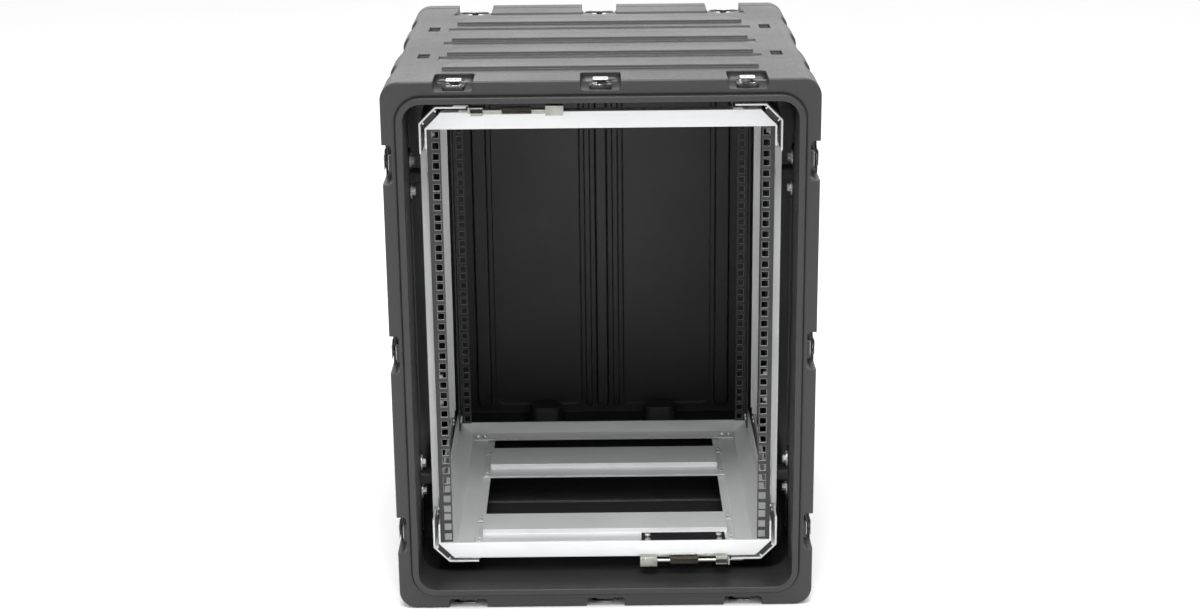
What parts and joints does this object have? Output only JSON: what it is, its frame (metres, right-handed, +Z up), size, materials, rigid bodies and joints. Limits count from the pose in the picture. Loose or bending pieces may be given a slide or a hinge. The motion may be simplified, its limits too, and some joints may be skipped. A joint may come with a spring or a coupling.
{
  "type": "equipment rack case",
  "caption": "Shock-mounted rack case: moulded shell with latched rear lid, sliding inner rack frame on a rubber-mounted cradle, frame locks and folding lift handles.",
  "frame": {"origin": "on the floor under the middle of the whole case, rear lid included", "axes": "+Z up, -Y towards the open front, +X to the right seen from the front"},
  "size_m": [0.606, 0.718, 0.79],
  "materials": {
    "shell_plastic": "fine moulded texture",
    "gasket_rubber": "matt sponge",
    "latch_steel": "satin zinc",
    "latch_black": "satin black",
    "handle_steel": "satin",
    "handle_rubber": "matt",
    "aluminium": "mill finish",
    "slide_plastic": "smooth slippery",
    "mount_rubber": "matt elastomer",
    "bolt_steel": "zinc plated",
    "rail_black": "satin black with bare hole edges",
    "lock_steel": "zinc plated",
    "stop_black": "satin black"
  },
  "bodies": {
    "case": {"case_shell": "shell_plastic", "latch_bases": "latch_black", "latch_plates": "latch_steel", "case_rivets": "handle_steel", "handle_brackets": "latch_black", "handle_pins": "handle_steel", "cradle_tracks_left": "aluminium", "cradle_tracks_right": "aluminium", "slide_strips": "slide_plastic", "cradle_posts": "aluminium", "shock_mounts": "mount_rubber", "mount_bolts": "bolt_steel", "lock_keepers": "lock_steel"},
    "rack_frame": {"corner_rail_top_left": "aluminium", "corner_rail_top_right": "aluminium", "corner_rail_bottom_left": "aluminium", "corner_rail_bottom_right": "aluminium", "front_top_rail": "aluminium", "front_bottom_rail": "aluminium", "rear_top_rail": "aluminium", "rear_bottom_rail": "aluminium", "rack_rails_front": "rail_black", "rack_rails_rear": "rail_black", "floor_members": "aluminium", "frame_bolts": "bolt_steel", "lock_brackets": "lock_steel", "stop_plates": "stop_black"},
    "lid": {"rear_lid": "shell_plastic", "lid_gasket": "gasket_rubber", "lid_keepers": "latch_steel"},
    "lock_top": {"lock_rod_top": "lock_steel"},
    "lock_bottom": {"lock_rod_bottom": "lock_steel"},
    "wing_front_top_left": {"latch_wing_front_top_left": "latch_black"},
    "wing_front_bottom_left": {"latch_wing_front_bottom_left": "latch_black"},
    "wing_front_top_middle": {"latch_wing_front_top_middle": "latch_black"},
    "wing_front_bottom_middle": {"latch_wing_front_bottom_middle": "latch_black"},
    "wing_front_top_right": {"latch_wing_front_top_right": "latch_black"},
    "wing_front_bottom_right": {"latch_wing_front_bottom_right": "latch_black"},
    "wing_front_left_upper": {"latch_wing_front_left_upper": "latch_black"},
    "wing_front_right_upper": {"latch_wing_front_right_upper": "latch_black"},
    "wing_front_left_centre": {"latch_wing_front_left_centre": "latch_black"},
    "wing_front_right_centre": {"latch_wing_front_right_centre": "latch_black"},
    "wing_front_left_lower": {"latch_wing_front_left_lower": "latch_black"},
    "wing_front_right_lower": {"latch_wing_front_right_lower": "latch_black"},
    "wing_rear_top_left": {"latch_wing_rear_top_left": "latch_black"},
    "wing_rear_bottom_left": {"latch_wing_rear_bottom_left": "latch_black"},
    "wing_rear_top_middle": {"latch_wing_rear_top_middle": "latch_black"},
    "wing_rear_bottom_middle": {"latch_wing_rear_bottom_middle": "latch_black"},
    "wing_rear_top_right": {"latch_wing_rear_top_right": "latch_black"},
    "wing_rear_bottom_right": {"latch_wing_rear_bottom_right": "latch_black"},
    "wing_rear_left_upper": {"latch_wing_rear_left_upper": "latch_black"},
    "wing_rear_right_upper": {"latch_wing_rear_right_upper": "latch_black"},
    "wing_rear_left_centre": {"latch_wing_rear_left_centre": "latch_black"},
    "wing_rear_right_centre": {"latch_wing_rear_right_centre": "latch_black"},
    "wing_rear_left_lower": {"latch_wing_rear_left_lower": "latch_black"},
    "wing_rear_right_lower": {"latch_wing_rear_right_lower": "latch_black"},
    "handle_front_left": {"handle_front_left": "handle_rubber"},
    "handle_front_right": {"handle_front_right": "handle_rubber"},
    "handle_rear_left": {"handle_rear_left": "handle_rubber"},
    "handle_rear_right": {"handle_rear_right": "handle_rubber"}
  },
  "joints": [
    {"name": "frame_slide", "type": "slide", "parent": "case", "child": "rack_frame", "axis": [0, -1, 0], "range_m": [0, 0.5]},
    {"name": "lid_off", "type": "slide", "parent": "case", "child": "lid", "axis": [0, 1, 0], "range_m": [0, 0.3]},
    {"name": "lock_top_slide", "type": "slide", "parent": "rack_frame", "child": "lock_top", "axis": [-1, 0, 0], "range_m": [0, 0.01]},
    {"name": "lock_bottom_slide", "type": "slide", "parent": "rack_frame", "child": "lock_bottom", "axis": [1, 0, 0], "range_m": [0, 0.01]},
    {"name": "front_top_left_latch", "type": "hinge", "parent": "case", "child": "wing_front_top_left", "pos_m": [-0.202, -0.331, 0.7725], "axis": [0, 0, 1], "range_deg": [-156, 24]},
    {"name": "front_bottom_left_latch", "type": "hinge", "parent": "case", "child": "wing_front_bottom_left", "pos_m": [-0.202, -0.331, 0.0135], "axis": [0, 0, -1], "range_deg": [-150, 30]},
    {"name": "front_top_middle_latch", "type": "hinge", "parent": "case", "child": "wing_front_top_middle", "pos_m": [0, -0.331, 0.7725], "axis": [0, 0, 1], "range_deg": [-28, 152]},
    {"name": "front_bottom_middle_latch", "type": "hinge", "parent": "case", "child": "wing_front_bottom_middle", "pos_m": [0, -0.331, 0.0135], "axis": [0, 0, -1], "range_deg": [-150, 30]},
    {"name": "front_top_right_latch", "type": "hinge", "parent": "case", "child": "wing_front_top_right", "pos_m": [0.202, -0.331, 0.7725], "axis": [0, 0, 1], "range_deg": [-78, 102]},
    {"name": "front_bottom_right_latch", "type": "hinge", "parent": "case", "child": "wing_front_bottom_right", "pos_m": [0.202, -0.331, 0.0135], "axis": [0, 0, -1], "range_deg": [-150, 30]},
    {"name": "front_left_upper_latch", "type": "hinge", "parent": "case", "child": "wing_front_left_upper", "pos_m": [-0.2895, -0.331, 0.67], "axis": [-1, 0, 0], "range_deg": [-150, 30]},
    {"name": "front_right_upper_latch", "type": "hinge", "parent": "case", "child": "wing_front_right_upper", "pos_m": [0.2895, -0.331, 0.67], "axis": [1, 0, 0], "range_deg": [-150, 30]},
    {"name": "front_left_centre_latch", "type": "hinge", "parent": "case", "child": "wing_front_left_centre", "pos_m": [-0.2895, -0.331, 0.393], "axis": [-1, 0, 0], "range_deg": [-150, 30]},
    {"name": "front_right_centre_latch", "type": "hinge", "parent": "case", "child": "wing_front_right_centre", "pos_m": [0.2895, -0.331, 0.393], "axis": [1, 0, 0], "range_deg": [-150, 30]},
    {"name": "front_left_lower_latch", "type": "hinge", "parent": "case", "child": "wing_front_left_lower", "pos_m": [-0.2895, -0.331, 0.116], "axis": [-1, 0, 0], "range_deg": [-150, 30]},
    {"name": "front_right_lower_latch", "type": "hinge", "parent": "case", "child": "wing_front_right_lower", "pos_m": [0.2895, -0.331, 0.116], "axis": [1, 0, 0], "range_deg": [-150, 30]},
    {"name": "rear_top_left_latch", "type": "hinge", "parent": "case", "child": "wing_rear_top_left", "pos_m": [-0.202, 0.237, 0.7725], "axis": [0, 0, 1], "range_deg": [0, 180]},
    {"name": "rear_bottom_left_latch", "type": "hinge", "parent": "case", "child": "wing_rear_bottom_left", "pos_m": [-0.202, 0.237, 0.0135], "axis": [0, 0, -1], "range_deg": [0, 180]},
    {"name": "rear_top_middle_latch", "type": "hinge", "parent": "case", "child": "wing_rear_top_middle", "pos_m": [0, 0.237, 0.7725], "axis": [0, 0, 1], "range_deg": [0, 180]},
    {"name": "rear_bottom_middle_latch", "type": "hinge", "parent": "case", "child": "wing_rear_bottom_middle", "pos_m": [0, 0.237, 0.0135], "axis": [0, 0, -1], "range_deg": [0, 180]},
    {"name": "rear_top_right_latch", "type": "hinge", "parent": "case", "child": "wing_rear_top_right", "pos_m": [0.202, 0.237, 0.7725], "axis": [0, 0, 1], "range_deg": [0, 180]},
    {"name": "rear_bottom_right_latch", "type": "hinge", "parent": "case", "child": "wing_rear_bottom_right", "pos_m": [0.202, 0.237, 0.0135], "axis": [0, 0, -1], "range_deg": [0, 180]},
    {"name": "rear_left_upper_latch", "type": "hinge", "parent": "case", "child": "wing_rear_left_upper", "pos_m": [-0.2895, 0.237, 0.67], "axis": [-1, 0, 0], "range_deg": [0, 180]},
    {"name": "rear_right_upper_latch", "type": "hinge", "parent": "case", "child": "wing_rear_right_upper", "pos_m": [0.2895, 0.237, 0.67], "axis": [1, 0, 0], "range_deg": [0, 180]},
    {"name": "rear_left_centre_latch", "type": "hinge", "parent": "case", "child": "wing_rear_left_centre", "pos_m": [-0.2895, 0.237, 0.393], "axis": [-1, 0, 0], "range_deg": [0, 180]},
    {"name": "rear_right_centre_latch", "type": "hinge", "parent": "case", "child": "wing_rear_right_centre", "pos_m": [0.2895, 0.237, 0.393], "axis": [1, 0, 0], "range_deg": [0, 180]},
    {"name": "rear_left_lower_latch", "type": "hinge", "parent": "case", "child": "wing_rear_left_lower", "pos_m": [-0.2895, 0.237, 0.116], "axis": [-1, 0, 0], "range_deg": [0, 180]},
    {"name": "rear_right_lower_latch", "type": "hinge", "parent": "case", "child": "wing_rear_right_lower", "pos_m": [0.2895, 0.237, 0.116], "axis": [1, 0, 0], "range_deg": [0, 180]},
    {"name": "handle_front_left_hinge", "type": "hinge", "parent": "case", "child": "handle_front_left", "pos_m": [-0.2964, -0.2355, 0.75], "axis": [0, 1, 0], "range_deg": [0, 90]},
    {"name": "handle_front_right_hinge", "type": "hinge", "parent": "case", "child": "handle_front_right", "pos_m": [0.2964, -0.2355, 0.75], "axis": [0, -1, 0], "range_deg": [0, 90]},
    {"name": "handle_rear_left_hinge", "type": "hinge", "parent": "case", "child": "handle_rear_left", "pos_m": [-0.2964, 0.1365, 0.75], "axis": [0, 1, 0], "range_deg": [0, 90]},
    {"name": "handle_rear_right_hinge", "type": "hinge", "parent": "case", "child": "handle_rear_right", "pos_m": [0.2964, 0.1365, 0.75], "axis": [0, -1, 0], "range_deg": [0, 90]}
  ]
}
